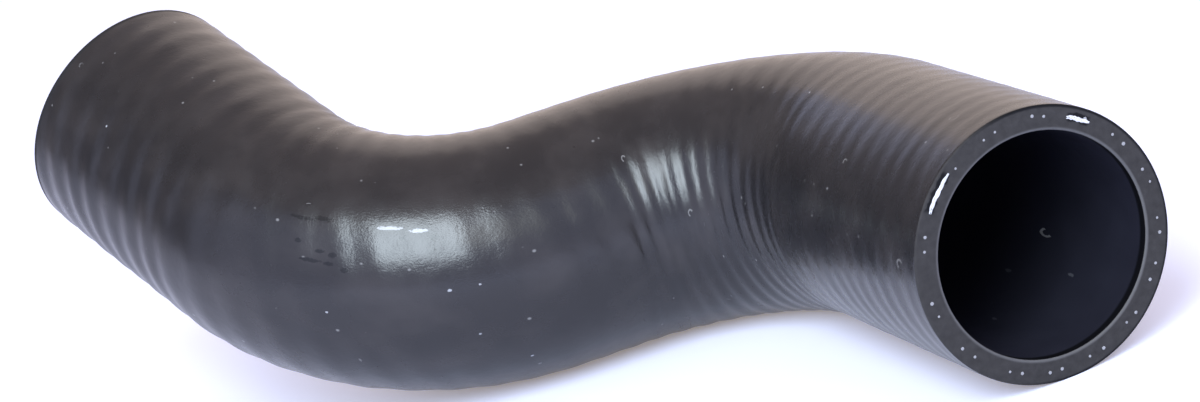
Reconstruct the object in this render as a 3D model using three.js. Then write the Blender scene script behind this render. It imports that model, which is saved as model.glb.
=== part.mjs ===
// A moulded radiator hose of fibre reinforced rubber, in millimetres, +Z up.
// It is one tube with two bends in different planes. The near leg and the first bend lie flat
// on the floor, and the second bend lifts the far leg clear of it.
import * as THREE from "three";

// Section
const BORE = 40;
const WALL = 4.5;
const EDGE_BREAK = 0.4;

// Route, from the near end, as a tube bender reads it. A clock angle is the side that a bend
// turns to, round the hose from the side of the first bend towards the top.
const NEAR_LEG = 58;
const FIRST_BEND_ANGLE = 84;
const FIRST_BEND_RADIUS = 46;
const FIRST_BEND_CLOCK = 0;
const MIDDLE_LEG = 12;
const SECOND_BEND_ANGLE = 71;
const SECOND_BEND_RADIUS = 49;
const SECOND_BEND_CLOCK = 155;
const FAR_LEG = 46;

// Ripples that the spiral wrap leaves on the cover. Heights are from trough to crest.
const RIPPLE_PITCH = 5.8;
const RIPPLE_STARTS = 4;
const RIPPLE_CROWDING = 0.12; // share by which the pitch is shorter at the near end, longer at the far
const RIPPLE_HEIGHT_NEAR = 0.16;
const RIPPLE_HEIGHT_MIDDLE = 0.06;
const RIPPLE_HEIGHT_FAR = 0.38;
const RIPPLE_FADE = 4; // the cover runs out smooth over this length at each cut end

// Fineness of the surface
const SEGMENTS = 24;
const STEPS_PER_RIPPLE = 4;

const OUTER_RADIUS = BORE / 2 + WALL;
const BORE_RADIUS = BORE / 2;

// One piece of the route: advance(distance) is the move along it, with the section's own x axis
// carried without twist, and bendSide is the direction of its bend's centre.
function straight(length) {
  return {
    length,
    curvature: 0,
    clock: 0,
    advance: (distance) => new THREE.Matrix4().makeTranslation(0, 0, distance),
  };
}

function bend(angle, radius, clockAngle) {
  const clock = THREE.MathUtils.degToRad(clockAngle);
  const advance = (distance) =>
    new THREE.Matrix4()
      .makeRotationZ(clock)
      .multiply(new THREE.Matrix4().makeTranslation(radius, 0, 0))
      .multiply(new THREE.Matrix4().makeRotationY(distance / radius))
      .multiply(new THREE.Matrix4().makeTranslation(-radius, 0, 0))
      .multiply(new THREE.Matrix4().makeRotationZ(-clock));
  return { length: THREE.MathUtils.degToRad(angle) * radius, curvature: 1 / radius, clock, advance };
}

const route = [
  straight(NEAR_LEG),
  bend(FIRST_BEND_ANGLE, FIRST_BEND_RADIUS, FIRST_BEND_CLOCK),
  straight(MIDDLE_LEG),
  bend(SECOND_BEND_ANGLE, SECOND_BEND_RADIUS, SECOND_BEND_CLOCK),
  straight(FAR_LEG),
];
const LENGTH = route.reduce((sum, piece) => sum + piece.length, 0);

// The near leg runs along +Y, the first bend turns towards -X and the section's y axis is up.
const startFrame = new THREE.Matrix4().makeBasis(
  new THREE.Vector3(-1, 0, 0),
  new THREE.Vector3(0, 0, 1),
  new THREE.Vector3(0, 1, 0),
);

// The section's frame at a distance along the centreline, and the piece that it lies in.
function stationAt(distance) {
  const frame = startFrame.clone();
  let left = distance;
  for (const piece of route) {
    if (left <= piece.length || piece === route.at(-1)) {
      return { frame: frame.multiply(piece.advance(left)), piece };
    }
    frame.multiply(piece.advance(piece.length));
    left -= piece.length;
  }
}

// Ripples are spread evenly over the share of the length, which is drawn together a little
// towards the near end.
const RIPPLE_COUNT = Math.round(LENGTH / RIPPLE_PITCH);

function distanceAtShare(share) {
  return LENGTH * (share + RIPPLE_CROWDING * share * (share - 1));
}

function rippleHeightAt(share) {
  const ofHalf = THREE.MathUtils.smoothstep(Math.abs(2 * share - 1), 0, 1);
  const atEnd = share < 0.5 ? RIPPLE_HEIGHT_NEAR : RIPPLE_HEIGHT_FAR;
  return THREE.MathUtils.lerp(RIPPLE_HEIGHT_MIDDLE, atEnd, ofHalf);
}

// How far the cover stands above (or below) the plain outer radius. A bend squeezes the ripples
// deeper on its inside and stretches them flatter on its outside.
function rippleAt(share, angle, piece) {
  const distance = distanceAtShare(share);
  const toEnd = Math.min(distance, LENGTH - distance);
  const fade = THREE.MathUtils.smoothstep(toEnd, 0, RIPPLE_FADE);
  const squeeze = 1 + OUTER_RADIUS * piece.curvature * Math.cos(angle - piece.clock);
  const phase = 2 * Math.PI * RIPPLE_COUNT * share - RIPPLE_STARTS * angle;
  return 0.5 * rippleHeightAt(share) * fade * squeeze * Math.cos(phase);
}

// The closed profile of the straight tube: x is the radius and y the share of the length. The
// cover goes out in fine steps, the bore comes back in one step for each ripple, and each cut
// face is flat with a small broken edge on both sides.
function tubeProfile() {
  const breakShare = EDGE_BREAK / LENGTH;
  const points = [];
  const outerSteps = RIPPLE_COUNT * STEPS_PER_RIPPLE;
  points.push(new THREE.Vector2(OUTER_RADIUS - EDGE_BREAK, 0));
  points.push(new THREE.Vector2(OUTER_RADIUS, breakShare));
  for (let i = 1; i < outerSteps; i++) {
    points.push(new THREE.Vector2(OUTER_RADIUS, i / outerSteps));
  }
  points.push(new THREE.Vector2(OUTER_RADIUS, 1 - breakShare));
  points.push(new THREE.Vector2(OUTER_RADIUS - EDGE_BREAK, 1));
  points.push(new THREE.Vector2(BORE_RADIUS + EDGE_BREAK, 1));
  points.push(new THREE.Vector2(BORE_RADIUS, 1 - breakShare));
  for (let i = RIPPLE_COUNT - 1; i > 0; i--) {
    points.push(new THREE.Vector2(BORE_RADIUS, i / RIPPLE_COUNT));
  }
  points.push(new THREE.Vector2(BORE_RADIUS, breakShare));
  points.push(new THREE.Vector2(BORE_RADIUS + EDGE_BREAK, 0));
  points.push(points[0].clone());
  return points;
}

// The tube is turned straight, then each point gets its ripple and its place on the route.
function hoseGeometry() {
  const halfSegment = Math.PI / SEGMENTS;
  const geometry = new THREE.LatheGeometry(tubeProfile(), SEGMENTS, halfSegment);
  const position = geometry.getAttribute("position");
  const point = new THREE.Vector3();
  for (let i = 0; i < position.count; i++) {
    point.fromBufferAttribute(position, i);
    const share = point.y;
    const angle = Math.atan2(point.x, point.z);
    const { frame, piece } = stationAt(distanceAtShare(share));
    let radius = Math.hypot(point.x, point.z);
    if (radius > OUTER_RADIUS - EDGE_BREAK / 2) {
      radius += rippleAt(share, angle, piece);
    }
    point.set(radius * Math.cos(angle), radius * Math.sin(angle), 0).applyMatrix4(frame);
    position.setXYZ(i, point.x, point.y, point.z);
  }
  geometry.computeVertexNormals();
  return geometry;
}

const rubber = new THREE.MeshStandardMaterial({ color: 0x2c2c2f, roughness: 0.5, metalness: 0 });

const hose = new THREE.Mesh(hoseGeometry(), rubber);
hose.name = "hose";

// The hose lies on the floor plane with the middle of its box over the origin.
const box = new THREE.Box3().setFromObject(hose);
const middle = box.getCenter(new THREE.Vector3());
hose.position.set(-middle.x, -middle.y, -box.min.z);

const radiatorHose = new THREE.Group();
radiatorHose.add(hose);

export default radiatorHose;
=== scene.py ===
import math

import bpy
from mathutils import Matrix, Vector


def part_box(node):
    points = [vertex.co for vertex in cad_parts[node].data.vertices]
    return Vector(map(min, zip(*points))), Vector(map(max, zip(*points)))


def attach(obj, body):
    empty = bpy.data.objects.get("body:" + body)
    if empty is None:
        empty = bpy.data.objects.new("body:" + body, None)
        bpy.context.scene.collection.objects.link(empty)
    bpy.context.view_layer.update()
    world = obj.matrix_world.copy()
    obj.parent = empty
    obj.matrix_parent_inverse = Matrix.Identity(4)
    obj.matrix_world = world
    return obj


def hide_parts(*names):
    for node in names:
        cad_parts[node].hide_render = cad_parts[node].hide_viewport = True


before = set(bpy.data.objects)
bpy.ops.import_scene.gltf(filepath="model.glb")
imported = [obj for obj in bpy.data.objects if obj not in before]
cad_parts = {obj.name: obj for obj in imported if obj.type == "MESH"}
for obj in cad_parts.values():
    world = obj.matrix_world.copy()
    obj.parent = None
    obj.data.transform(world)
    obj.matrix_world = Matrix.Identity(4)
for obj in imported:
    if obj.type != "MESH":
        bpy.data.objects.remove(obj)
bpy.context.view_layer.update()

# Camera
# A long lens looks down on the hose from its near end, a little rolled, as the photographer's
# camera did.
camera_data = bpy.data.cameras.new("camera")
camera_data.sensor_width = 36
camera_data.lens = 113.5
camera_data.clip_start = 0.01
camera_data.clip_end = 20
camera = bpy.data.objects.new("camera", camera_data)
bpy.context.scene.collection.objects.link(camera)
camera_place = Vector((-0.20683, -0.65808, 0.22702))
line_of_sight = Vector((0.3008, 0.9140, -0.2722))
camera_roll = math.radians(-15.39)
camera.matrix_world = (
    Matrix.Translation(camera_place)
    @ line_of_sight.to_track_quat("-Z", "Y").to_matrix().to_4x4()
    @ Matrix.Rotation(camera_roll, 4, "Z")
)
bpy.context.scene.camera = camera

# Hose
# One length of black EPDM rubber tube with knitted yarn in its wall. It is extruded, bound in a
# slanted wrap that leaves soft ripples on the cover, cured on a bent mandrel and cut square at
# both ends.
BORE_RADIUS = 0.020
OUTER_RADIUS = 0.0245
EDGE_BREAK = 0.0004
NEAR_LEG = 0.058
FIRST_BEND_ANGLE = math.radians(84)
FIRST_BEND_RADIUS = 0.046
FIRST_BEND_CLOCK = 0.0
MIDDLE_LEG = 0.012
SECOND_BEND_ANGLE = math.radians(71)
SECOND_BEND_RADIUS = 0.049
SECOND_BEND_CLOCK = math.radians(155)
FAR_LEG = 0.046
RIPPLE_PITCH = 0.0058
RIPPLE_STARTS = 4
RIPPLE_CROWDING = 0.12
RIPPLE_HEIGHT_NEAR = 0.00016
RIPPLE_HEIGHT_MIDDLE = 0.00014
RIPPLE_HEIGHT_FAR = 0.00038
RIPPLE_FADE = 0.004
FIRST_BEND_START = NEAR_LEG
FIRST_BEND_END = FIRST_BEND_START + FIRST_BEND_ANGLE * FIRST_BEND_RADIUS
SECOND_BEND_START = FIRST_BEND_END + MIDDLE_LEG
SECOND_BEND_END = SECOND_BEND_START + SECOND_BEND_ANGLE * SECOND_BEND_RADIUS
HOSE_LENGTH = SECOND_BEND_END + FAR_LEG
RIPPLE_COUNT = round(HOSE_LENGTH / RIPPLE_PITCH)
STEPS_PER_RIPPLE = 12
BORE_STEPS = 96
ROUNDS = 128
EDGE_STEPS = 4
CUT_RINGS = (0.164, 0.38, 0.62, 0.836)  # shares of the wall, from the cover in to the bore


def share_along(along):
    """The share of the ripples that lies before a place along the hose."""
    slack = 1 - RIPPLE_CROWDING
    return (math.sqrt(slack**2 + 4 * RIPPLE_CROWDING * along / HOSE_LENGTH) - slack) / (
        2 * RIPPLE_CROWDING
    )


def along_share(share):
    """The place along the hose before which this share of the ripples lies."""
    return HOSE_LENGTH * (share + RIPPLE_CROWDING * share * (share - 1))


def wall_section():
    """One cut through the wall of the straight tube: radius, place along, share of the ripples."""
    section = []

    def broken_edge(radius, along, outward, forward, turn):
        for step in range(EDGE_STEPS + 1):
            part = step / EDGE_STEPS
            angle = math.pi / 2 * (part if turn > 0 else 1 - part)
            back = EDGE_BREAK * (1 - math.cos(angle))
            under = EDGE_BREAK * (1 - math.sin(angle))
            section.append((radius - outward * back, along - forward * under))

    def cut_face(along, rings):
        for ring in rings:
            section.append((OUTER_RADIUS + (BORE_RADIUS - OUTER_RADIUS) * ring, along))

    cover_steps = RIPPLE_COUNT * STEPS_PER_RIPPLE
    clear_of_edge = EDGE_BREAK * 1.2
    for step in range(1, cover_steps):
        along = along_share(step / cover_steps)
        if clear_of_edge < along < HOSE_LENGTH - clear_of_edge:
            section.append((OUTER_RADIUS, along))
    broken_edge(OUTER_RADIUS, HOSE_LENGTH, 1, 1, 1)
    cut_face(HOSE_LENGTH, CUT_RINGS)
    broken_edge(BORE_RADIUS, HOSE_LENGTH, -1, 1, -1)
    for step in range(1, BORE_STEPS):
        section.append((BORE_RADIUS, HOSE_LENGTH * (1 - step / BORE_STEPS)))
    broken_edge(BORE_RADIUS, 0.0, -1, -1, 1)
    cut_face(0.0, reversed(CUT_RINGS))
    broken_edge(OUTER_RADIUS, 0.0, 1, -1, -1)
    return [(radius, along, share_along(along)) for radius, along in section]


def add_node(tree, kind, inputs=(), **settings):
    """A node with its settings made and its inputs linked, or set where they are plain values."""
    made = tree.nodes.new(kind)
    for name, value in settings.items():
        setattr(made, name, value)
    for socket, value in dict(inputs).items():
        if isinstance(value, bpy.types.NodeSocket):
            tree.links.new(value, made.inputs[socket])
        else:
            made.inputs[socket].default_value = value
    return made


def reckon(tree, operation, *values):
    """A Math node's result; values are numbers or sockets."""
    return add_node(tree, "ShaderNodeMath", enumerate(values), operation=operation).outputs[0]


def soft_step(tree, value, low, high):
    """0 up to low, 1 from high on, and a smooth step between; low may be the greater one."""
    ramp = add_node(
        tree, "ShaderNodeMapRange",
        {"Value": value, "From Min": low, "From Max": high},
        interpolation_type="SMOOTHSTEP",
    )
    return ramp.outputs["Result"]


def new_tree(name, inputs, outputs):
    """An empty Geometry Nodes tree with these named inputs and outputs."""
    tree = bpy.data.node_groups.new(name, "GeometryNodeTree")
    for socket, kind in inputs:
        tree.interface.new_socket(socket, in_out="INPUT", socket_type="NodeSocket" + kind)
    for socket, kind in outputs:
        tree.interface.new_socket(socket, in_out="OUTPUT", socket_type="NodeSocket" + kind)
    return tree


def make_bend():
    """A group that bends a straight tube along z: what lies past the bend swings round with it."""
    tree = new_tree(
        "Bend",
        [("Position", "Vector"), ("Along", "Float"), ("Start", "Float"), ("Angle", "Float"),
         ("Radius", "Float"), ("Clock", "Float")],
        [("Position", "Vector")],
    )
    given = tree.nodes.new("NodeGroupInput").outputs
    radius = given["Radius"]
    turned = add_node(
        tree, "ShaderNodeVectorRotate",
        {"Vector": given["Position"], "Angle": reckon(tree, "MULTIPLY", given["Clock"], -1.0)},
        rotation_type="Z_AXIS",
    )
    place = add_node(tree, "ShaderNodeSeparateXYZ", {0: turned.outputs[0]}).outputs
    past = reckon(tree, "SUBTRACT", given["Along"], given["Start"])
    swing = reckon(tree, "DIVIDE", past, radius)
    swing = reckon(tree, "MINIMUM", reckon(tree, "MAXIMUM", swing, 0.0), given["Angle"])
    cosine = reckon(tree, "COSINE", swing)
    sine = reckon(tree, "SINE", swing)
    spent = reckon(tree, "MULTIPLY_ADD", swing, radius, given["Start"])
    rest = reckon(tree, "SUBTRACT", place["Z"], spent)
    arm = reckon(tree, "SUBTRACT", radius, place["X"])
    aside = reckon(tree, "SUBTRACT", radius, reckon(tree, "MULTIPLY", arm, cosine))
    aside = reckon(tree, "MULTIPLY_ADD", rest, sine, aside)
    onward = reckon(tree, "MULTIPLY_ADD", arm, sine, given["Start"])
    onward = reckon(tree, "MULTIPLY_ADD", rest, cosine, onward)
    bent = add_node(tree, "ShaderNodeCombineXYZ", {0: aside, 1: place["Y"], 2: onward})
    back = add_node(
        tree, "ShaderNodeVectorRotate",
        {"Vector": bent.outputs[0], "Angle": given["Clock"]},
        rotation_type="Z_AXIS",
    )
    result = tree.nodes.new("NodeGroupOutput")
    tree.links.new(back.outputs[0], result.inputs[0])
    return tree


bend_group = make_bend()
ROUTE_INPUTS = [
    ("First Start", "Float"), ("First Angle", "Float"), ("First Radius", "Float"),
    ("First Clock", "Float"), ("Second Start", "Float"), ("Second Angle", "Float"),
    ("Second Radius", "Float"), ("Second Clock", "Float"), ("Near Centre", "Vector"),
]


def lay_on_route(tree, given, straight):
    """The place on the floor of a point of the straight tube, whose z runs along the hose."""
    along = add_node(tree, "ShaderNodeSeparateXYZ", {0: straight}).outputs["Z"]
    place = straight
    for bend in ("Second", "First"):
        group = add_node(tree, "GeometryNodeGroup", node_tree=bend_group)
        tree.links.new(place, group.inputs["Position"])
        tree.links.new(along, group.inputs["Along"])
        for size in ("Start", "Angle", "Radius", "Clock"):
            tree.links.new(given[bend + " " + size], group.inputs[size])
        place = group.outputs[0]
    bent = add_node(tree, "ShaderNodeSeparateXYZ", {0: place}).outputs
    flipped = add_node(
        tree, "ShaderNodeCombineXYZ",
        {0: reckon(tree, "MULTIPLY", bent["X"], -1.0), 1: bent["Z"], 2: bent["Y"]},
    )
    placed = add_node(
        tree, "ShaderNodeVectorMath",
        {0: flipped.outputs[0], 1: given["Near Centre"]},
        operation="ADD",
    )
    parts = add_node(tree, "ShaderNodeSeparateXYZ", {0: placed.outputs[0]}).outputs
    # No ripple sinks below the floor.
    on_floor = reckon(tree, "MAXIMUM", parts["Z"], 0.0)
    return add_node(
        tree, "ShaderNodeCombineXYZ", {0: parts["X"], 1: parts["Y"], 2: on_floor}
    ).outputs[0]


# The squeeze of a bend sets in over this length on both sides of its ends.
BEND_LEAD = 0.006

# The wrap wasn't even. The ripples drift by up to this phase to both sides, and each is between
# the least share of its height and that plus the swing. The cover has broad lumps and hollows.
DRIFT = 1.5
DRIFT_SCALE = 1.1
HEIGHT_LEAST = 0.2
HEIGHT_SWING = 1.6
UNEVEN_SCALE = 2.6
LUMP_LEVEL = 0.6

# The ripples are weaker on top of the hose. Up the round, from -1 at the bottom to 1 at the top,
# the loss sets in at the first height and is full at the second, both lower towards the ends.
TOP_LOSS = 0.62
TOP_FIRST_MIDDLE, TOP_FIRST_ENDS = 0.1, -0.3
TOP_FULL_MIDDLE, TOP_FULL_ENDS = 0.8, 0.45

# The cover's girth on the flat chart of the UV map, and how near two points are one place.
CHART_WIDTH = 0.154
SAME_PLACE = 1e-5


def make_wall_tree():
    """A tree that turns the section round, ripples the cover and lays the tube on its route."""
    tree = new_tree(
        "Hose wall",
        [("Section", "Geometry"), ("Rounds", "Int"), ("Rows", "Int"), ("Outer Radius", "Float"),
         ("Bore Radius", "Float"), ("Length", "Float"), ("Ripple Count", "Float"),
         ("Ripple Starts", "Float"), ("Height Near", "Float"), ("Height Middle", "Float"),
         ("Height Far", "Float"), ("Fade", "Float"), ("Unevenness", "Float"), ("Seed", "Float"),
         ("Cover", "Material"), ("Cut Face", "Material"), ("Bore", "Material"), *ROUTE_INPUTS],
        [("Hose", "Geometry")],
    )
    given = tree.nodes.new("NodeGroupInput").outputs
    grid = add_node(
        tree, "GeometryNodeMeshGrid",
        {"Size X": 1.0, "Size Y": 1.0,
         "Vertices X": reckon(tree, "ADD", given["Rounds"], 1.0),
         "Vertices Y": reckon(tree, "ADD", given["Rows"], 1.0)},
    )
    flat = add_node(
        tree, "ShaderNodeSeparateXYZ", {0: tree.nodes.new("GeometryNodeInputPosition").outputs[0]}
    ).outputs
    angle = reckon(tree, "MULTIPLY_ADD", flat["X"], 2 * math.pi, math.pi / 2)
    row = reckon(tree, "MULTIPLY", reckon(tree, "ADD", flat["Y"], 0.5), given["Rows"])
    row = reckon(tree, "MODULO", reckon(tree, "ROUND", row), given["Rows"])
    taken = add_node(
        tree, "GeometryNodeSampleIndex",
        {"Geometry": given["Section"],
         "Value": tree.nodes.new("GeometryNodeInputPosition").outputs[0],
         "Index": row},
        data_type="FLOAT_VECTOR", domain="POINT",
    )
    section = add_node(tree, "ShaderNodeSeparateXYZ", {0: taken.outputs[0]}).outputs
    radius, along, share = section["X"], section["Y"], section["Z"]

    # The ripple on the cover: it runs out at both ends, and a bend squeezes it on its inside.
    to_end = reckon(tree, "MINIMUM", along, reckon(tree, "SUBTRACT", given["Length"], along))
    fade = soft_step(tree, to_end, 0.0, given["Fade"])
    squeeze = 1.0
    for bend in ("First", "Second"):
        start = given[bend + " Start"]
        length = reckon(tree, "MULTIPLY", given[bend + " Angle"], given[bend + " Radius"])
        end = reckon(tree, "ADD", start, length)
        coming = soft_step(
            tree, along,
            reckon(tree, "SUBTRACT", start, BEND_LEAD), reckon(tree, "ADD", start, BEND_LEAD),
        )
        going = soft_step(
            tree, along,
            reckon(tree, "ADD", end, BEND_LEAD), reckon(tree, "SUBTRACT", end, BEND_LEAD),
        )
        inside = reckon(tree, "MULTIPLY", coming, going)
        lean = reckon(tree, "COSINE", reckon(tree, "SUBTRACT", angle, given[bend + " Clock"]))
        pull = reckon(tree, "DIVIDE", given["Outer Radius"], given[bend + " Radius"])
        pull = reckon(tree, "MULTIPLY", reckon(tree, "MULTIPLY", pull, lean), inside)
        squeeze = reckon(tree, "ADD", squeeze, pull)
    half = reckon(tree, "ABSOLUTE", reckon(tree, "MULTIPLY_ADD", share, 2.0, -1.0))
    of_half = soft_step(tree, half, 0.0, 1.0)
    past_middle = reckon(tree, "GREATER_THAN", share, 0.5)
    end_change = reckon(tree, "SUBTRACT", given["Height Far"], given["Height Near"])
    at_end = reckon(tree, "MULTIPLY_ADD", past_middle, end_change, given["Height Near"])
    height_change = reckon(tree, "SUBTRACT", at_end, given["Height Middle"])
    height = reckon(tree, "MULTIPLY_ADD", of_half, height_change, given["Height Middle"])
    round_place = add_node(
        tree, "ShaderNodeCombineXYZ",
        {0: reckon(tree, "COSINE", angle), 1: reckon(tree, "SINE", angle),
         2: reckon(tree, "DIVIDE", along, given["Outer Radius"])},
    )
    wander = add_node(
        tree, "ShaderNodeTexNoise",
        {"Vector": round_place.outputs[0], "W": given["Seed"], "Scale": DRIFT_SCALE,
         "Detail": 1.0},
        noise_dimensions="4D",
    )
    phase = reckon(tree, "MULTIPLY", share, given["Ripple Count"])
    phase = reckon(tree, "MULTIPLY", phase, 2 * math.pi)
    starts = reckon(tree, "MULTIPLY", given["Ripple Starts"], angle)
    phase = reckon(tree, "SUBTRACT", phase, starts)
    drift = reckon(tree, "MULTIPLY_ADD", wander.outputs[0], 2 * DRIFT, -DRIFT)
    phase = reckon(tree, "ADD", phase, drift)
    uneven = add_node(
        tree, "ShaderNodeTexNoise",
        {"Vector": round_place.outputs[0], "W": reckon(tree, "ADD", given["Seed"], 7.0),
         "Scale": UNEVEN_SCALE, "Detail": 2.0},
        noise_dimensions="4D",
    )
    ripple = reckon(tree, "MULTIPLY", reckon(tree, "COSINE", phase), 0.5)
    ripple = reckon(tree, "MULTIPLY", ripple, height)
    ripple = reckon(tree, "MULTIPLY", ripple, squeeze)
    vary = reckon(tree, "MULTIPLY_ADD", uneven.outputs[0], HEIGHT_SWING, HEIGHT_LEAST)
    ripple = reckon(tree, "MULTIPLY", ripple, vary)
    lump = reckon(tree, "SUBTRACT", uneven.outputs[0], LUMP_LEVEL)
    top_first = reckon(
        tree, "MULTIPLY_ADD", of_half, TOP_FIRST_ENDS - TOP_FIRST_MIDDLE, TOP_FIRST_MIDDLE
    )
    top_full = reckon(
        tree, "MULTIPLY_ADD", of_half, TOP_FULL_ENDS - TOP_FULL_MIDDLE, TOP_FULL_MIDDLE
    )
    on_top = soft_step(tree, reckon(tree, "SINE", angle), top_first, top_full)
    top_share = reckon(tree, "MULTIPLY_ADD", on_top, -TOP_LOSS, 1.0)
    ripple = reckon(tree, "MULTIPLY", ripple, top_share)
    ripple = reckon(tree, "MULTIPLY_ADD", lump, given["Unevenness"], ripple)
    ripple = reckon(tree, "MULTIPLY", ripple, fade)
    break_line = reckon(tree, "SUBTRACT", given["Outer Radius"], EDGE_BREAK / 2)
    on_cover = reckon(tree, "GREATER_THAN", radius, break_line)
    radius = reckon(tree, "MULTIPLY_ADD", ripple, on_cover, radius)

    straight = add_node(
        tree, "ShaderNodeCombineXYZ",
        {0: reckon(tree, "MULTIPLY", radius, reckon(tree, "COSINE", angle)),
         1: reckon(tree, "MULTIPLY", radius, reckon(tree, "SINE", angle)), 2: along},
    ).outputs[0]
    kept = add_node(
        tree, "GeometryNodeStoreNamedAttribute",
        {"Geometry": grid.outputs["Mesh"], "Name": "straight", "Value": straight},
        data_type="FLOAT_VECTOR", domain="POINT",
    )
    kept = add_node(
        tree, "GeometryNodeStoreNamedAttribute",
        {"Geometry": kept.outputs[0], "Name": "plain_radius", "Value": section["X"]},
        data_type="FLOAT", domain="POINT",
    )
    chart = add_node(
        tree, "ShaderNodeCombineXYZ",
        {0: reckon(tree, "MULTIPLY", reckon(tree, "ADD", flat["X"], 0.5), CHART_WIDTH), 1: along},
    )
    kept = add_node(
        tree, "GeometryNodeStoreNamedAttribute",
        {"Geometry": kept.outputs[0], "Name": "UVMap", "Value": chart.outputs[0]},
        data_type="FLOAT2", domain="CORNER",
    )
    read = add_node(
        tree, "GeometryNodeInputNamedAttribute", {"Name": "straight"}, data_type="FLOAT_VECTOR"
    ).outputs[0]
    laid = add_node(
        tree, "GeometryNodeSetPosition",
        {"Geometry": kept.outputs[0], "Position": lay_on_route(tree, given, read)},
    )
    joined = add_node(
        tree, "GeometryNodeMergeByDistance", {"Geometry": laid.outputs[0], "Distance": SAME_PLACE}
    )
    reach = add_node(
        tree, "GeometryNodeInputNamedAttribute", {"Name": "plain_radius"}, data_type="FLOAT"
    ).outputs[0]
    # Of a broken edge, the step next to the cover or the bore goes with it, the rest with the
    # cut face.
    bore_line = reckon(tree, "ADD", given["Bore Radius"], EDGE_BREAK * 0.12)
    in_bore = reckon(tree, "LESS_THAN", reach, bore_line)
    cut_line = reckon(tree, "SUBTRACT", given["Outer Radius"], EDGE_BREAK * 0.04)
    on_cut = reckon(tree, "LESS_THAN", reach, cut_line)
    dressed = joined.outputs[0]
    for chosen, material in ((True, "Cover"), (on_cut, "Cut Face"), (in_bore, "Bore")):
        dressed = add_node(
            tree, "GeometryNodeSetMaterial",
            {"Geometry": dressed, "Selection": chosen, "Material": given[material]},
        ).outputs[0]
    whole = add_node(tree, "GeometryNodeRealizeInstances", {"Geometry": dressed})
    result = tree.nodes.new("NodeGroupOutput")
    tree.links.new(whole.outputs[0], result.inputs[0])
    return tree


def route_values():
    """The route's sizes, and the middle of the CAD hose's near face, from which it sets out."""
    low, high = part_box("hose")
    face = [v.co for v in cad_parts["hose"].data.vertices if v.co.y < low.y + SAME_PLACE]
    near_x = (min(p.x for p in face) + max(p.x for p in face)) / 2
    near_z = (min(p.z for p in face) + max(p.z for p in face)) / 2
    return {
        "First Start": FIRST_BEND_START, "First Angle": FIRST_BEND_ANGLE,
        "First Radius": FIRST_BEND_RADIUS, "First Clock": FIRST_BEND_CLOCK,
        "Second Start": SECOND_BEND_START, "Second Angle": SECOND_BEND_ANGLE,
        "Second Radius": SECOND_BEND_RADIUS, "Second Clock": SECOND_BEND_CLOCK,
        "Near Centre": (near_x, low.y, near_z),
    }


def grow(name, tree, values, base):
    """A plain mesh object made by a Geometry Nodes tree with these input values."""
    seed = bpy.data.objects.new(name + "_seed", base)
    bpy.context.scene.collection.objects.link(seed)
    modifier = seed.modifiers.new("nodes", "NODES")
    modifier.node_group = tree
    for item in tree.interface.items_tree:
        if item.item_type == "SOCKET" and item.in_out == "INPUT" and item.name in values:
            modifier[item.identifier] = values[item.name]
    evaluated = seed.evaluated_get(bpy.context.evaluated_depsgraph_get())
    mesh = bpy.data.meshes.new_from_object(evaluated)
    mesh.name = name
    seed.modifiers.remove(modifier)
    bpy.data.objects.remove(seed)
    piece = bpy.data.objects.new(name, mesh)
    bpy.context.scene.collection.objects.link(piece)
    return piece


def material_tree(name):
    """A new material, its nodes and its shader, which is joined to the output."""
    material = bpy.data.materials.new(name)
    material.use_nodes = True
    tree = material.node_tree
    tree.nodes.clear()
    result = tree.nodes.new("ShaderNodeOutputMaterial")
    surface = tree.nodes.new("ShaderNodeBsdfPrincipled")
    tree.links.new(surface.outputs[0], result.inputs[0])
    return material, tree, surface


def blend_colour(tree, share, first, second):
    """The first colour, or the second where the share is 1; each is a colour or a socket."""
    mix = tree.nodes.new("ShaderNodeMix")
    mix.data_type = "RGBA"
    for socket, value in ((0, share), (6, first), (7, second)):
        if isinstance(value, bpy.types.NodeSocket):
            tree.links.new(value, mix.inputs[socket])
        else:
            mix.inputs[socket].default_value = value
    return mix.outputs[2]


# Marks of handling on the cover: a colour, a kind, and for each mark its place along the hose in
# mm, its clock angle in degrees, and its length and width in mm. A curl is an open ring of lint.
COVER_MARKS = (
    ((0.003, 0.003, 0.004, 1), "scuff",
     ((176.5, 32.7, 4.0, 0.7), (173.0, 33.8, 2.8, 0.9), (176.0, 22.5, 1.1, 0.8),
      (172.5, 19.5, 1.4, 0.7), (170.5, 18.5, 1.1, 1.1), (173.7, 15.0, 3.2, 0.7),
      (171.0, 14.5, 1.4, 0.7), (168.5, 12.5, 1.1, 1.1), (156.0, 27.2, 1.6, 1.0),
      (160.5, 27.5, 1.0, 0.6))),
    ((0.30, 0.305, 0.32, 1), "scuff",
     ((162.5, 32.0, 3.6, 0.7), (158.2, 30.6, 2.6, 0.7), (154.5, 3.5, 0.5, 0.5),
      (150.5, 4.5, 0.4, 0.4), (171.0, -7.5, 0.45, 0.45), (151.5, -19.0, 0.4, 0.4),
      (225.0, 24.5, 0.45, 0.45), (62.0, 66.0, 0.45, 0.4), (145.5, -38.5, 0.4, 0.4))),
    ((0.15, 0.145, 0.14, 1), "curl",
     ((102.0, 10.0, 1.6, 1.2), (120.5, 41.0, 1.2, 1.2), (6.0, 10.0, 1.9, 1.5),
      (33.0, 42.0, 1.1, 0.9))),
)

# Dust that clings to the lining inside the near leg, in rows like those of the cover.
BORE_MARKS = (
    ((0.20, 0.195, 0.20, 1), "curl", ((34.6, -148.9, 3.6, 1.3),)),
    ((0.06, 0.06, 0.07, 1), "scuff",
     ((41.0, -123.0, 2.2, 0.7), (21.0, -133.0, 1.8, 0.6), (29.0, -92.0, 1.8, 0.6))),
)


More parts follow.
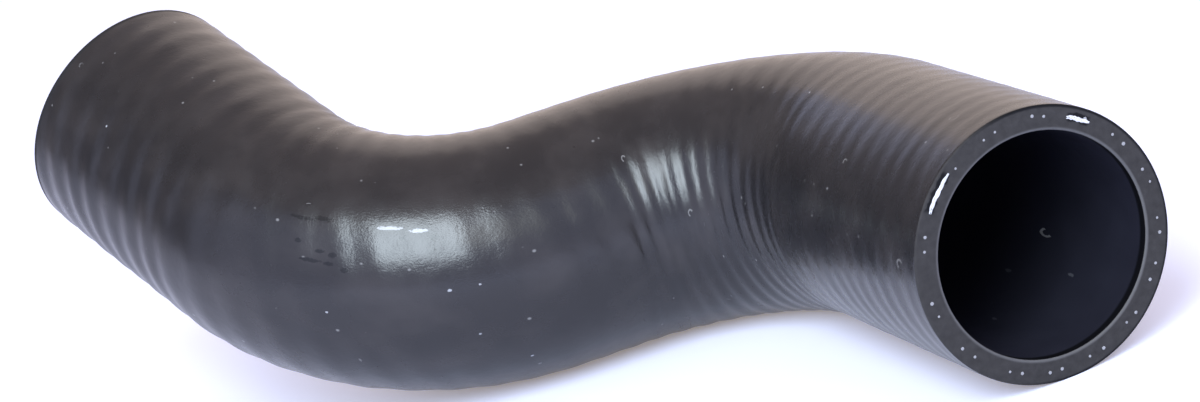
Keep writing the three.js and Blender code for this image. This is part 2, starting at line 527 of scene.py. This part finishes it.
def mark_skin(tree, colour, place, radius, ragged, all_marks):
    """The colour with marks laid over it; place is the straight tube's x, y and z."""
    clock = reckon(tree, "ARCTAN2", place["Y"], place["X"])
    mm_in_metre = 1000
    for tone, shape, marks in all_marks:
        stain = 0.0
        for along, angle, length, width in marks:
            # How far off the mark's middle, in half lengths forward and half widths aside.
            forward = reckon(
                tree, "MULTIPLY_ADD", place["Z"], 2 * mm_in_metre / length, -2 * along / length
            )
            arc = 2 * mm_in_metre * radius / width
            aside = reckon(tree, "MULTIPLY_ADD", clock, arc, -arc * math.radians(angle))
            spot = add_node(tree, "ShaderNodeCombineXYZ", {0: forward, 1: aside})
            away = add_node(
                tree, "ShaderNodeVectorMath", {0: spot.outputs[0]}, operation="LENGTH"
            ).outputs["Value"]
            if shape == "curl":
                # A thin line round the outline, and none of it behind, where the ring is open.
                away = reckon(tree, "ABSOLUTE", reckon(tree, "SUBTRACT", away, 1.0))
                away = reckon(tree, "MULTIPLY", away, 4.0)
                behind = reckon(tree, "LESS_THAN", reckon(tree, "ADD", forward, aside), -0.5)
                away = reckon(tree, "ADD", away, reckon(tree, "MULTIPLY", behind, 5.0))
            mark = soft_step(tree, reckon(tree, "ADD", away, ragged), 1.25, 0.75)
            stain = reckon(tree, "MAXIMUM", stain, mark)
        colour = blend_colour(tree, stain, colour, tone)
    return colour


def make_cover_rubber():
    """Cured black rubber: satin, mottled by the wrap, with a fine grain, dust, lint, scuffs and
    near-black dots, and painted shade along the far rim.
    """
    material, tree, surface = material_tree("cover rubber")
    skin = add_node(tree, "ShaderNodeAttribute", attribute_name="straight").outputs["Vector"]

    def noise(scale, detail=2.0, stretch=(1, 1, 1), roughness=0.5):
        placed = add_node(
            tree, "ShaderNodeMapping", {"Vector": skin, "Scale": tuple(s * scale for s in stretch)}
        )
        return add_node(
            tree, "ShaderNodeTexNoise",
            {"Vector": placed.outputs[0], "Scale": 1.0, "Detail": detail, "Roughness": roughness},
        ).outputs[0]

    mottle = noise(90, 3.0)
    cloud = noise(30, 2.0)
    grain = noise(3200, 2.0)
    smear = noise(420, 3.0, (1, 1, 1.6))
    black = (0.0135, 0.0125, 0.0135, 1)
    greyed = (0.0265, 0.0235, 0.0235, 1)
    dust_grey = (0.20, 0.195, 0.19, 1)
    lint_grey = (0.26, 0.255, 0.25, 1)
    dot_and_rim_shade_black = (0.004, 0.004, 0.005, 1)
    colour = blend_colour(tree, soft_step(tree, mottle, 0.35, 0.75), black, greyed)

    # Specks of dust, one in ten of the small cells.
    specks = add_node(
        tree, "ShaderNodeTexVoronoi", {"Vector": skin, "Scale": 420.0, "Randomness": 1.0}
    )
    dot = soft_step(tree, specks.outputs["Distance"], 0.16, 0.05)
    rare = add_node(tree, "ShaderNodeSeparateColor", {0: specks.outputs["Color"]}).outputs[0]
    rare = reckon(tree, "GREATER_THAN", rare, 0.90)
    dust = reckon(tree, "MULTIPLY", reckon(tree, "MULTIPLY", dot, rare), 0.8)
    colour = blend_colour(tree, dust, colour, dust_grey)

    # Faint broken rings of lint in some of the large cells, and small near-black dots in some.
    cells = add_node(
        tree, "ShaderNodeTexVoronoi", {"Vector": skin, "Scale": 150.0, "Randomness": 1.0}
    )
    ring = reckon(tree, "ABSOLUTE", reckon(tree, "SUBTRACT", cells.outputs["Distance"], 0.15))
    ring = soft_step(tree, ring, 0.016, 0.006)
    pick = add_node(tree, "ShaderNodeSeparateColor", {0: cells.outputs["Color"]}).outputs
    curl = reckon(tree, "MULTIPLY", ring, reckon(tree, "GREATER_THAN", pick[0], 0.86))
    curl = reckon(tree, "MULTIPLY", curl, soft_step(tree, noise(700, 1.0), 0.52, 0.60))
    colour = blend_colour(tree, reckon(tree, "MULTIPLY", curl, 0.4), colour, lint_grey)
    dark_dot = soft_step(tree, cells.outputs["Distance"], 0.07, 0.035)
    dark_dot = reckon(tree, "MULTIPLY", dark_dot, reckon(tree, "LESS_THAN", pick[1], 0.10))
    colour = blend_colour(tree, dark_dot, colour, dot_and_rim_shade_black)

    place = add_node(tree, "ShaderNodeSeparateXYZ", {0: skin}).outputs
    ragged = reckon(tree, "MULTIPLY_ADD", noise(1800, 2.0), 1.6, -0.8)
    colour = mark_skin(tree, colour, place, OUTER_RADIUS, ragged, COVER_MARKS)
    # Painted shade: the cover is painted near black within 0.7 mm of the far end, fading out by 1.4
    # mm, as the dark shade along the cut edge.
    far_rim = soft_step(tree, place["Z"], HOSE_LENGTH - 0.0014, HOSE_LENGTH - 0.0007)
    colour = blend_colour(tree, far_rim, colour, dot_and_rim_shade_black)
    tree.links.new(colour, surface.inputs["Base Color"])

    # The roughness: duller on both legs, and dull on the far rim.
    polish = reckon(tree, "MULTIPLY_ADD", cloud, 0.12, 0.14)
    polish = reckon(tree, "MULTIPLY_ADD", smear, 0.10, polish)
    polish = reckon(tree, "MULTIPLY_ADD", far_rim, 0.4, polish)
    far_dull = soft_step(tree, place["Z"], 0.168, 0.200)
    near_dull = soft_step(tree, place["Z"], 0.085, 0.055)
    polish = reckon(tree, "MULTIPLY_ADD", far_dull, 0.05, polish)
    polish = reckon(tree, "MULTIPLY_ADD", near_dull, 0.03, polish)
    tree.links.new(polish, surface.inputs["Roughness"])

    fine = add_node(
        tree, "ShaderNodeBump", {"Height": grain, "Strength": 0.35, "Distance": 0.00006}
    )
    rub = add_node(
        tree, "ShaderNodeBump",
        {"Height": smear, "Strength": 0.25, "Distance": 0.0002, "Normal": fine.outputs[0]},
    )
    tree.links.new(rub.outputs[0], surface.inputs["Normal"])
    return material


def make_cut_rubber():
    """The sawn face of the wall: dull dark grey rubber with fine saw marks and a paler lining
    edge, painted shade for the grooves beside the torn yarns, and a painted shade line along the
    outer edge on the outer side of the first bend.
    """
    material, tree, surface = material_tree("cut rubber")
    skin = add_node(tree, "ShaderNodeAttribute", attribute_name="straight").outputs["Vector"]
    reach = add_node(tree, "ShaderNodeAttribute", attribute_name="plain_radius").outputs["Fac"]
    wear = add_node(
        tree, "ShaderNodeTexNoise", {"Vector": skin, "Scale": 700.0, "Detail": 4.0}
    ).outputs[0]
    sawn_dark = (0.023, 0.0215, 0.021, 1)
    sawn_pale = (0.054, 0.050, 0.049, 1)
    lining_grey = (0.15, 0.145, 0.145, 1)
    painted_shade_black = (0.006, 0.006, 0.007, 1)
    colour = blend_colour(tree, wear, sawn_dark, sawn_pale)
    lining = soft_step(tree, reach, BORE_RADIUS + 0.0007, BORE_RADIUS + 0.0002)
    colour = blend_colour(tree, reckon(tree, "MULTIPLY", lining, 0.6), colour, lining_grey)

    # Painted shade: a near-black strip with ragged edges just outside each torn yarn, on the near
    # face only, stands in for the shade in the groove the yarn left; the groove itself isn't
    # modelled.
    place = add_node(tree, "ShaderNodeSeparateXYZ", {0: skin}).outputs
    clock = reckon(tree, "ARCTAN2", place["Y"], place["X"])
    torn = 0.0
    for start, end, radius in TORN_YARNS:
        off_line = reckon(tree, "ABSOLUTE", reckon(tree, "SUBTRACT", reach, radius + 0.0002))
        off_line = reckon(tree, "MULTIPLY_ADD", wear, 0.0012, off_line)
        strip = soft_step(tree, off_line, 0.0015, 0.0012)
        middle, half = math.radians(start + end) / 2, math.radians(end - start) / 2
        off_end = reckon(tree, "ABSOLUTE", reckon(tree, "SUBTRACT", clock, middle))
        run_out = soft_step(tree, off_end, half + 0.01, half - 0.03)
        strip = reckon(tree, "MULTIPLY", strip, run_out)
        torn = reckon(tree, "MAXIMUM", torn, strip)
    torn = reckon(tree, "MULTIPLY", torn, reckon(tree, "LESS_THAN", place["Z"], 0.001))
    colour = blend_colour(tree, torn, colour, painted_shade_black)

    # Painted shade: a near-black line within 0.3 mm of the outer edge of the face, fading out by
    # 0.7 mm, on the outer side of the first bend, as the dark shade at the broken edge.
    rim = soft_step(tree, reach, OUTER_RADIUS - 0.0007, OUTER_RADIUS - 0.0003)
    rim_shade_side = soft_step(tree, reckon(tree, "COSINE", clock), 0.5, 0.0)
    rim = reckon(tree, "MULTIPLY", rim, rim_shade_side)
    colour = blend_colour(tree, rim, colour, painted_shade_black)
    tree.links.new(colour, surface.inputs["Base Color"])
    surface.inputs["Roughness"].default_value = 0.62
    surface.inputs["Specular IOR Level"].default_value = 0.12
    cut = add_node(
        tree, "ShaderNodeBump", {"Height": wear, "Strength": 0.5, "Distance": 0.0003}
    )
    tree.links.new(cut.outputs[0], surface.inputs["Normal"])
    return material


def make_bore_rubber():
    """The smooth blue black lining that was moulded on the mandrel, with painted shade darkening it
    at both lips.
    """
    material, tree, surface = material_tree("bore rubber")
    skin = add_node(tree, "ShaderNodeAttribute", attribute_name="straight").outputs["Vector"]
    film = add_node(
        tree, "ShaderNodeTexNoise", {"Vector": skin, "Scale": 160.0, "Detail": 3.0}
    ).outputs[0]
    blue_black = (0.012, 0.012, 0.019, 1)
    blue_grey = (0.018, 0.018, 0.028, 1)
    lip_shade_black = (0.002, 0.002, 0.003, 1)
    colour = blend_colour(tree, film, blue_black, blue_grey)
    frayed = add_node(
        tree, "ShaderNodeTexNoise", {"Vector": skin, "Scale": 1500.0, "Detail": 2.0}
    ).outputs[0]
    ragged = reckon(tree, "MULTIPLY_ADD", frayed, 1.6, -0.8)
    place = add_node(tree, "ShaderNodeSeparateXYZ", {0: skin}).outputs
    colour = mark_skin(tree, colour, place, BORE_RADIUS, ragged, BORE_MARKS)
    to_near = place["Z"]
    to_far = reckon(tree, "SUBTRACT", HOSE_LENGTH, to_near)
    # Painted shade: the bore is painted near black within 1.6 mm of both ends, fading out by 2.4
    # mm.
    lip = soft_step(tree, reckon(tree, "MINIMUM", to_near, to_far), 0.0024, 0.0016)
    colour = blend_colour(tree, lip, colour, lip_shade_black)
    tree.links.new(colour, surface.inputs["Base Color"])
    tree.links.new(reckon(tree, "MULTIPLY_ADD", film, 0.2, 0.5), surface.inputs["Roughness"])
    surface.inputs["Specular IOR Level"].default_value = 0.15
    fine = add_node(
        tree, "ShaderNodeBump", {"Height": film, "Strength": 0.3, "Distance": 0.0002}
    )
    tree.links.new(fine.outputs[0], surface.inputs["Normal"])
    return material


# Two yarns have been torn sideways out of the near face: from and to a clock angle in degrees,
# and how far out they lie.
TORN_YARNS = ((33.7, 52.7, 0.0229), (115.9, 127.7, 0.0224))
cut_rubber = make_cut_rubber()
section_line = bpy.data.meshes.new("wall_section")
section_line.from_pydata(wall_section(), [], [])
wall = {
    "Rounds": ROUNDS, "Rows": len(section_line.vertices), "Outer Radius": OUTER_RADIUS,
    "Bore Radius": BORE_RADIUS, "Length": HOSE_LENGTH, "Ripple Count": float(RIPPLE_COUNT),
    "Ripple Starts": float(RIPPLE_STARTS), "Height Near": RIPPLE_HEIGHT_NEAR,
    "Height Middle": RIPPLE_HEIGHT_MIDDLE, "Height Far": RIPPLE_HEIGHT_FAR,
    "Fade": RIPPLE_FADE, "Unevenness": 0.00015, "Seed": 3.0,
    "Cover": make_cover_rubber(), "Cut Face": cut_rubber, "Bore": make_bore_rubber(),
    **route_values(),
}
hose = grow("moulded_hose", make_wall_tree(), wall, section_line)
hose.data.shade_smooth()
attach(hose, "root")
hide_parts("hose")

# Yarn ends
# The knitted yarns in the wall, of aramid or polyester, were cut with it, so their pale ends show
# as pairs of dots in both cut faces. Each is a bundle of filament tips, almost flush with the face.
YARN_RING_RADIUS = 0.0226
YARN_PAIR_CLOCKS = (102, 77, 53, 20, -10, -36, -62, -82, -103, -126, -148, -170, -193, -215, -238)
YARN_HALF_GAP = 3.4
MIDDLE_TIPS = 3
MIDDLE_TIPS_RADIUS = 0.00006
TIP_FLATNESS = 0.5
BUNDLE_SIZE_LEAST, BUNDLE_SIZE_MOST = 0.75, 1.2


def yarn_places():
    """Where each yarn meets a cut face, on the straight tube."""
    places = []
    for along in (0.0, HOSE_LENGTH):
        for clock in YARN_PAIR_CLOCKS:
            for side in (-YARN_HALF_GAP, YARN_HALF_GAP):
                angle = math.radians(clock + side)
                places.append(
                    (YARN_RING_RADIUS * math.cos(angle), YARN_RING_RADIUS * math.sin(angle), along)
                )
    return places


def make_yarn_tree():
    """A tree that sets a bundle of flat filament tips at each place, none quite like another."""
    tree = new_tree(
        "Yarn ends",
        [("Places", "Geometry"), ("Filaments", "Int"), ("Bundle Radius", "Float"),
         ("Tip Radius", "Float"), ("Wander", "Float"), ("Seed", "Int"), ("Yarn", "Material"),
         *ROUTE_INPUTS],
        [("Yarn Ends", "Geometry")],
    )
    given = tree.nodes.new("NodeGroupInput").outputs
    circle = add_node(
        tree, "GeometryNodeMeshCircle",
        {"Vertices": given["Filaments"], "Radius": given["Bundle Radius"]},
    )
    middle = add_node(
        tree, "GeometryNodeMeshCircle", {"Vertices": MIDDLE_TIPS, "Radius": MIDDLE_TIPS_RADIUS}
    )
    bundle = tree.nodes.new("GeometryNodeJoinGeometry")
    tree.links.new(circle.outputs[0], bundle.inputs[0])
    tree.links.new(middle.outputs[0], bundle.inputs[0])
    tip = add_node(
        tree, "GeometryNodeMeshIcoSphere", {"Radius": given["Tip Radius"], "Subdivisions": 2}
    )
    flat_tip = add_node(
        tree, "GeometryNodeTransform",
        {"Geometry": tip.outputs[0], "Scale": (1.0, 1.0, TIP_FLATNESS)},
    )
    tips = add_node(
        tree, "GeometryNodeInstanceOnPoints",
        {"Points": bundle.outputs[0], "Instance": flat_tip.outputs[0]},
    )
    spread = add_node(
        tree, "FunctionNodeRandomValue",
        {"Seed": given["Seed"]}, data_type="FLOAT_VECTOR",
    )
    spread.inputs[0].default_value = (-1, -1, 0)
    spread.inputs[1].default_value = (1, 1, 0)
    shift = add_node(
        tree, "ShaderNodeVectorMath", {0: spread.outputs[0]}, operation="SCALE"
    )
    tree.links.new(given["Wander"], shift.inputs["Scale"])
    moved = add_node(
        tree, "GeometryNodeSetPosition",
        {"Geometry": given["Places"], "Offset": shift.outputs[0]},
    )
    turn = add_node(
        tree, "FunctionNodeRandomValue",
        {"Seed": reckon(tree, "ADD", given["Seed"], 1.0)}, data_type="FLOAT",
    )
    turn.inputs[2].default_value = 0.0
    turn.inputs[3].default_value = 2 * math.pi
    turned = add_node(tree, "ShaderNodeCombineXYZ", {2: turn.outputs[1]})
    size = add_node(
        tree, "FunctionNodeRandomValue",
        {"Seed": reckon(tree, "ADD", given["Seed"], 2.0)}, data_type="FLOAT",
    )
    size.inputs[2].default_value = BUNDLE_SIZE_LEAST
    size.inputs[3].default_value = BUNDLE_SIZE_MOST
    ends = add_node(
        tree, "GeometryNodeInstanceOnPoints",
        {"Points": moved.outputs[0], "Instance": tips.outputs[0], "Rotation": turned.outputs[0],
         "Scale": size.outputs[1]},
    )
    whole = add_node(tree, "GeometryNodeRealizeInstances", {"Geometry": ends.outputs[0]})
    position = tree.nodes.new("GeometryNodeInputPosition").outputs[0]
    laid = add_node(
        tree, "GeometryNodeSetPosition",
        {"Geometry": whole.outputs[0], "Position": lay_on_route(tree, given, position)},
    )
    dressed = add_node(
        tree, "GeometryNodeSetMaterial", {"Geometry": laid.outputs[0], "Material": given["Yarn"]}
    )
    result = tree.nodes.new("NodeGroupOutput")
    tree.links.new(dressed.outputs[0], result.inputs[0])
    return tree


def make_yarn_fibre(name, clean, soiled):
    """Raw aramid or polyester filament: off-white and dull, soiled a little by the rubber."""
    material, tree, surface = material_tree(name)
    own = tree.nodes.new("ShaderNodeTexCoord").outputs["Object"]
    soil = add_node(tree, "ShaderNodeTexNoise", {"Vector": own, "Scale": 900.0}).outputs[0]
    colour = blend_colour(tree, soil, clean, soiled)
    tree.links.new(colour, surface.inputs["Base Color"])
    surface.inputs["Roughness"].default_value = 0.7
    return material


yarn_fibre = make_yarn_fibre("yarn fibre", (0.42, 0.41, 0.42, 1), (0.20, 0.195, 0.20, 1))
yarn_points = bpy.data.meshes.new("yarn_places")
yarn_points.from_pydata(yarn_places(), [], [])
yarn_ends = grow(
    "yarn_ends", make_yarn_tree(),
    {"Filaments": 7, "Bundle Radius": 0.00019, "Tip Radius": 0.00011, "Wander": 0.0003,
     "Seed": 5, "Yarn": yarn_fibre, **route_values()},
    yarn_points,
)
yarn_ends.data.shade_smooth()
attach(yarn_ends, "root")

# Torn yarns
# Two lengths of the same yarn that the saw pulled sideways lie in their grooves across the near
# face. Each is a few loosely twisted strands, thinner at both ends.
STRANDS = 4
STRAND_RADIUS = 0.00015
STRAND_SPREAD = 0.00022
STRAND_TWISTS = 1.6
YARN_WAVE = 0.00012
YARN_LIFT = 0.00002
YARN_LIFT_CHANGE = 0.00003


def torn_yarn_mesh():
    """A thin closed tube for each strand of both yarns, just proud of the near face."""
    near = Vector(route_values()["Near Centre"])
    points, faces = [], []
    sides, steps = 6, 36
    for start, end, radius in TORN_YARNS:
        for strand in range(STRANDS):
            first = len(points)
            for step in range(steps + 1):
                share = step / steps
                clock = math.radians(start + (end - start) * share)
                wave = YARN_WAVE * math.sin(9 * share + 2.1 * strand)
                twist = 2 * math.pi * (STRAND_TWISTS * share + strand / STRANDS)
                taper = math.sin(math.pi * (0.06 + 0.88 * share)) ** 0.5
                reach = radius + wave + STRAND_SPREAD * taper * math.cos(twist)
                lift = YARN_LIFT + YARN_LIFT_CHANGE * math.sin(twist)
                middle = Vector((reach * math.cos(clock), reach * math.sin(clock), -lift))
                outward = Vector((math.cos(clock), math.sin(clock), 0))
                for side in range(sides):
                    turn = 2 * math.pi * side / sides
                    thick = STRAND_RADIUS * taper
                    spot = middle + outward * thick * math.cos(turn)
                    spot.z -= 0.5 * thick * math.sin(turn)
                    points.append((near.x - spot.x, near.y + spot.z, near.z + spot.y))
            for step in range(steps):
                for side in range(sides):
                    a = first + step * sides + side
                    b = first + step * sides + (side + 1) % sides
                    faces.append((a, b, b + sides, a + sides))
            last = first + steps * sides
            faces.append(tuple(first + side for side in reversed(range(sides))))
            faces.append(tuple(last + side for side in range(sides)))
    mesh = bpy.data.meshes.new("torn_yarns")
    mesh.from_pydata(points, [], faces)
    return mesh


torn_yarns = bpy.data.objects.new("torn_yarns", torn_yarn_mesh())
bpy.context.scene.collection.objects.link(torn_yarns)
torn_yarns.data.materials.append(
    make_yarn_fibre("torn yarn fibre", (0.85, 0.83, 0.84, 1), (0.52, 0.51, 0.52, 1))
)
torn_yarns.data.shade_smooth()
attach(torn_yarns, "root")

# Floor
# A plain pale table top under the hose, which keeps the hose's soft shadow. A faint glow, which
# shows to the camera and in gloss but lights nothing, keeps the open ground white.
floor_mesh = bpy.data.meshes.new("floor")
floor_mesh.from_pydata([(-6, -6, 0), (6, -6, 0), (6, 6, 0), (-6, 6, 0)], [], [(0, 1, 2, 3)])
floor = bpy.data.objects.new("floor", floor_mesh)
bpy.context.scene.collection.objects.link(floor)
floor_paint, floor_nodes, floor_surface = material_tree("floor paint")
floor_surface.inputs["Base Color"].default_value = (0.74, 0.79, 1.0, 1)
floor_surface.inputs["Roughness"].default_value = 0.9
floor_surface.inputs["Specular IOR Level"].default_value = 0.0
rays = floor_nodes.nodes.new("ShaderNodeLightPath").outputs
seen = reckon(floor_nodes, "MAXIMUM", rays["Is Camera Ray"], rays["Is Glossy Ray"])
seen = reckon(floor_nodes, "MAXIMUM", seen, rays["Is Transmission Ray"])
haze = add_node(
    floor_nodes, "ShaderNodeEmission", {"Color": (1.0, 0.90, 0.85, 1), "Strength": 0.27}
)
none = add_node(floor_nodes, "ShaderNodeEmission", {"Strength": 0.0})
shown = add_node(
    floor_nodes, "ShaderNodeMixShader", {0: seen, 1: none.outputs[0], 2: haze.outputs[0]}
)
both = add_node(
    floor_nodes, "ShaderNodeAddShader", {0: floor_surface.outputs[0], 1: shown.outputs[0]}
)
floor_nodes.links.new(both.outputs[0], floor_nodes.nodes["Material Output"].inputs[0])
floor_mesh.materials.append(floor_paint)

# Lights
# One large cool soft box, 1.2 m from the hose, above and to the left of the camera. The bright
# room round it fills the shadows.


def towards(azimuth, elevation, distance):
    """The place in this direction, in degrees, and at this distance from the hose."""
    a, e = math.radians(azimuth), math.radians(elevation)
    return Vector((math.cos(e) * math.cos(a), math.cos(e) * math.sin(a), math.sin(e))) * distance


soft_box = bpy.data.lights.new("soft_box", "AREA")
soft_box.shape = "RECTANGLE"
soft_box.size = 0.46
soft_box.size_y = 0.80
soft_box.energy = 16.5
soft_box.color = (0.80, 0.92, 1.0)
box_place = towards(-125, 40, 1.2)
box_light = bpy.data.objects.new("soft_box", soft_box)
bpy.context.scene.collection.objects.link(box_light)
box_light.matrix_world = (
    Matrix.Translation(box_place) @ (-box_place).to_track_quat("-Z", "Y").to_matrix().to_4x4()
)

# Panels
# Studio panels that the rubber's gloss shows, unseen by the camera: a dim ceiling, a dark and a
# grey screen behind the hose on the left, a warm wall in two parts behind it on the right, and
# three cards to the right of the soft box, each dimmer than the one before.


def add_panel(name, centre, width, height, strength, colour):
    """A flat panel that faces the hose and glows at a plain level; the camera doesn't see it."""
    overhead = centre.xy.length < 0.2
    across = Vector((1, 0, 0)) if overhead else Vector((-centre.y, centre.x, 0)).normalized()
    upward = centre.cross(across).normalized()
    corners = [
        centre + across * width / 2 * a + upward * height / 2 * b
        for a, b in ((-1, -1), (1, -1), (1, 1), (-1, 1))
    ]
    mesh = bpy.data.meshes.new(name)
    mesh.from_pydata(corners, [], [(0, 1, 2, 3)])
    panel = bpy.data.objects.new(name, mesh)
    bpy.context.scene.collection.objects.link(panel)
    paint = bpy.data.materials.new(name)
    paint.use_nodes = True
    paint.node_tree.nodes.clear()
    glow = add_node(
        paint.node_tree, "ShaderNodeEmission", {"Color": colour, "Strength": strength}
    )
    end = paint.node_tree.nodes.new("ShaderNodeOutputMaterial")
    paint.node_tree.links.new(glow.outputs[0], end.inputs[0])
    mesh.materials.append(paint)
    panel.visible_camera = False
    panel.visible_shadow = False


# A name, a place, a width and height in metres, a strength and a colour.
add_panel("ceiling", Vector((0.0, 0.1, 1.5)), 2.4, 2.4, 0.54, (1.0, 0.83, 0.83, 1))
add_panel("dark_screen", towards(130, 8, 1.6), 1.9, 0.9, 0.20, (1.0, 0.90, 1.0, 1))
add_panel("grey_screen", towards(130, 42, 1.7), 1.9, 1.3, 0.30, (1.0, 0.84, 0.84, 1))
add_panel("warm_wall", towards(50, 12, 1.9), 2.3, 1.0, 1.3, (1.0, 0.85, 0.79, 1))
add_panel("warm_top", towards(50, 43, 1.9), 2.3, 1.1, 1.35, (1.0, 0.85, 0.80, 1))
card_colour = (0.93, 0.96, 1.0, 1)
for card, (azimuth, strength) in enumerate(((-108.5, 3.4), (-101.0, 2.5), (-93.5, 1.8)), 1):
    add_panel(f"card_{card}", towards(azimuth, 40, 1.3), 0.135, 0.48, strength, card_colour)

# Room
# Plain cool white walls all round, at a strength of 1.
room = bpy.data.worlds.new("room")
room.use_nodes = True
bpy.context.scene.world = room
walls = room.node_tree.nodes["Background"]
walls.inputs["Color"].default_value = (0.92, 0.96, 1.30, 1)
walls.inputs["Strength"].default_value = 1.0

bpy.context.scene.view_settings.view_transform = "Standard"
